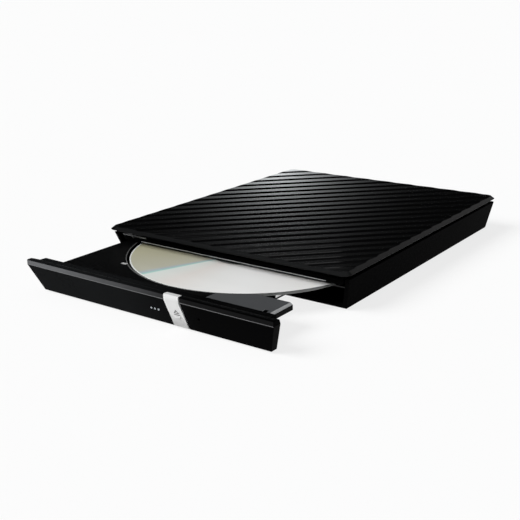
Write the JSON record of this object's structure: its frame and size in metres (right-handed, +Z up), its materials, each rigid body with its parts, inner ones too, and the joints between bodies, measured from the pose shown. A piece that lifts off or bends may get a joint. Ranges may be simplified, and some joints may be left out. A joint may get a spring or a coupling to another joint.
{
  "type": "external disc drive",
  "caption": "Slim external optical disc drive with a ridged lid, a sliding tray with a disc on its hub, and the mechanism inside.",
  "frame": {"origin": "centre of the case's flat underside", "axes": "+X to the right seen from the front, the tray slides out along -Y, +Z up"},
  "size_m": [0.142, 0.2223, 0.0204],
  "materials": {
    "lid_black": "glossy black with slanted ridges",
    "case_black": "glossy black moulded shell",
    "bezel_black": "glossy black",
    "tray_black": "fine matt black",
    "button_silver": "satin silver paint",
    "rubber_black": "matt",
    "steel_sheet": "galvanised sheet",
    "steel_bright": "ground",
    "screw_black": "black oxide",
    "brass": "turned",
    "board_green": "solder mask",
    "chip_black": "moulded packages",
    "connector_shell": "nickel plated",
    "connector_plastic": "moulded",
    "mechanism_plastic": "moulded",
    "clip_grey": "moulded",
    "disc_silver": "clear plastic over a mirror layer",
    "light_clear": "clear moulded light guide",
    "lens_clear": "coated lens",
    "led_white": "moulded"
  },
  "bodies": {
    "case": {"top_cover": "lid_black", "bottom_case": "case_black", "rubber_feet": "rubber_black", "case_screws": "screw_black", "bridge_board": "board_green", "bridge_parts": "chip_black", "bridge_connector": "connector_plastic", "usb_socket": "connector_shell", "drive_chassis": "steel_sheet", "drive_cover": "steel_sheet", "drive_connector": "connector_plastic", "main_board": "board_green", "main_board_chips": "chip_black", "left_rail_guide": "mechanism_plastic", "right_rail_guide": "mechanism_plastic"},
    "tray": {"tray": "tray_black", "tray_bottom_cover": "steel_sheet", "mechanism_cover": "steel_sheet", "disc_clips": "clip_grey", "traverse_chassis": "steel_sheet", "damper_grommets": "rubber_black", "main_guide_rod": "steel_bright", "sub_guide_rod": "steel_bright", "sled_motor": "steel_bright", "spindle_motor": "steel_sheet", "bezel": "bezel_black", "front_board": "board_green", "status_leds": "led_white", "light_guide": "light_clear", "eject_switch": "chip_black", "latch_solenoid": "steel_sheet"},
    "left_rail": {"left_slide_rail": "steel_bright"},
    "right_rail": {"right_slide_rail": "steel_bright"},
    "lead_screw": {"lead_screw": "brass"},
    "spindle": {"turntable": "mechanism_plastic", "hub_claws": "clip_grey", "turntable_pad": "rubber_black", "disc": "disc_silver"},
    "sled": {"pickup_sled": "mechanism_plastic"},
    "lens": {"objective_lens": "lens_clear"},
    "eject_button": {"eject_button": "button_silver"},
    "switch_plunger": {"switch_plunger": "clip_grey"},
    "latch_lever": {"latch_lever": "clip_grey"},
    "solenoid_plunger": {"solenoid_plunger": "steel_bright"}
  },
  "joints": [
    {"name": "tray_slide", "type": "slide", "parent": "case", "child": "tray", "axis": [0, -1, 0], "range_m": [-0.051, 0.086]},
    {"name": "left_rail_slide", "type": "slide", "parent": "case", "child": "left_rail", "axis": [0, -1, 0], "range_m": [-0.0255, 0.043]},
    {"name": "right_rail_slide", "type": "slide", "parent": "case", "child": "right_rail", "axis": [0, -1, 0], "range_m": [-0.0255, 0.043]},
    {"name": "spindle_spin", "type": "hinge", "parent": "tray", "child": "spindle", "pos_m": [0.0015, -0.05785, 0.009], "axis": [0, 0, 1], "continuous": true},
    {"name": "sled_slide", "type": "slide", "parent": "tray", "child": "sled", "axis": [0, -1, 0], "range_m": [0, 0.033]},
    {"name": "lead_screw_spin", "type": "hinge", "parent": "tray", "child": "lead_screw", "pos_m": [-0.024, -0.06, 0.0054], "axis": [0, 1, 0], "range_deg": [0, 3961]},
    {"name": "lens_focus", "type": "slide", "parent": "sled", "child": "lens", "axis": [0, 0, 1], "range_m": [-0.00035, 0.00035], "stiffness_N_per_m": 8, "springref_m": 0.00008},
    {"name": "eject_press", "type": "slide", "parent": "tray", "child": "eject_button", "axis": [0, 1, 0], "range_m": [0, 0.0006], "stiffness_N_per_m": 300, "springref_m": -0.0005},
    {"name": "switch_press", "type": "slide", "parent": "tray", "child": "switch_plunger", "axis": [0, 1, 0], "range_m": [-0.00005, 0.0007]},
    {"name": "latch_swing", "type": "hinge", "parent": "tray", "child": "latch_lever", "pos_m": [0.0332, -0.101, 0.006], "axis": [0, 0, 1], "range_deg": [-12.6, 0.6]},
    {"name": "plunger_slide", "type": "slide", "parent": "tray", "child": "solenoid_plunger", "axis": [0, 1, 0], "range_m": [0, 0.0015], "stiffness_N_per_m": 300, "springref_m": -0.0005}
  ],
  "couplings": [
    {"joint": "left_rail_slide", "follows": "tray_slide", "ratio": 0.5},
    {"joint": "right_rail_slide", "follows": "tray_slide", "ratio": 0.5},
    {"joint": "lead_screw_spin", "follows": "sled_slide", "rad_per_m": 2094.4},
    {"joint": "switch_press", "follows": "eject_press", "ratio": 1},
    {"joint": "latch_swing", "follows": "plunger_slide", "rad_per_m": -138.89}
  ]
}
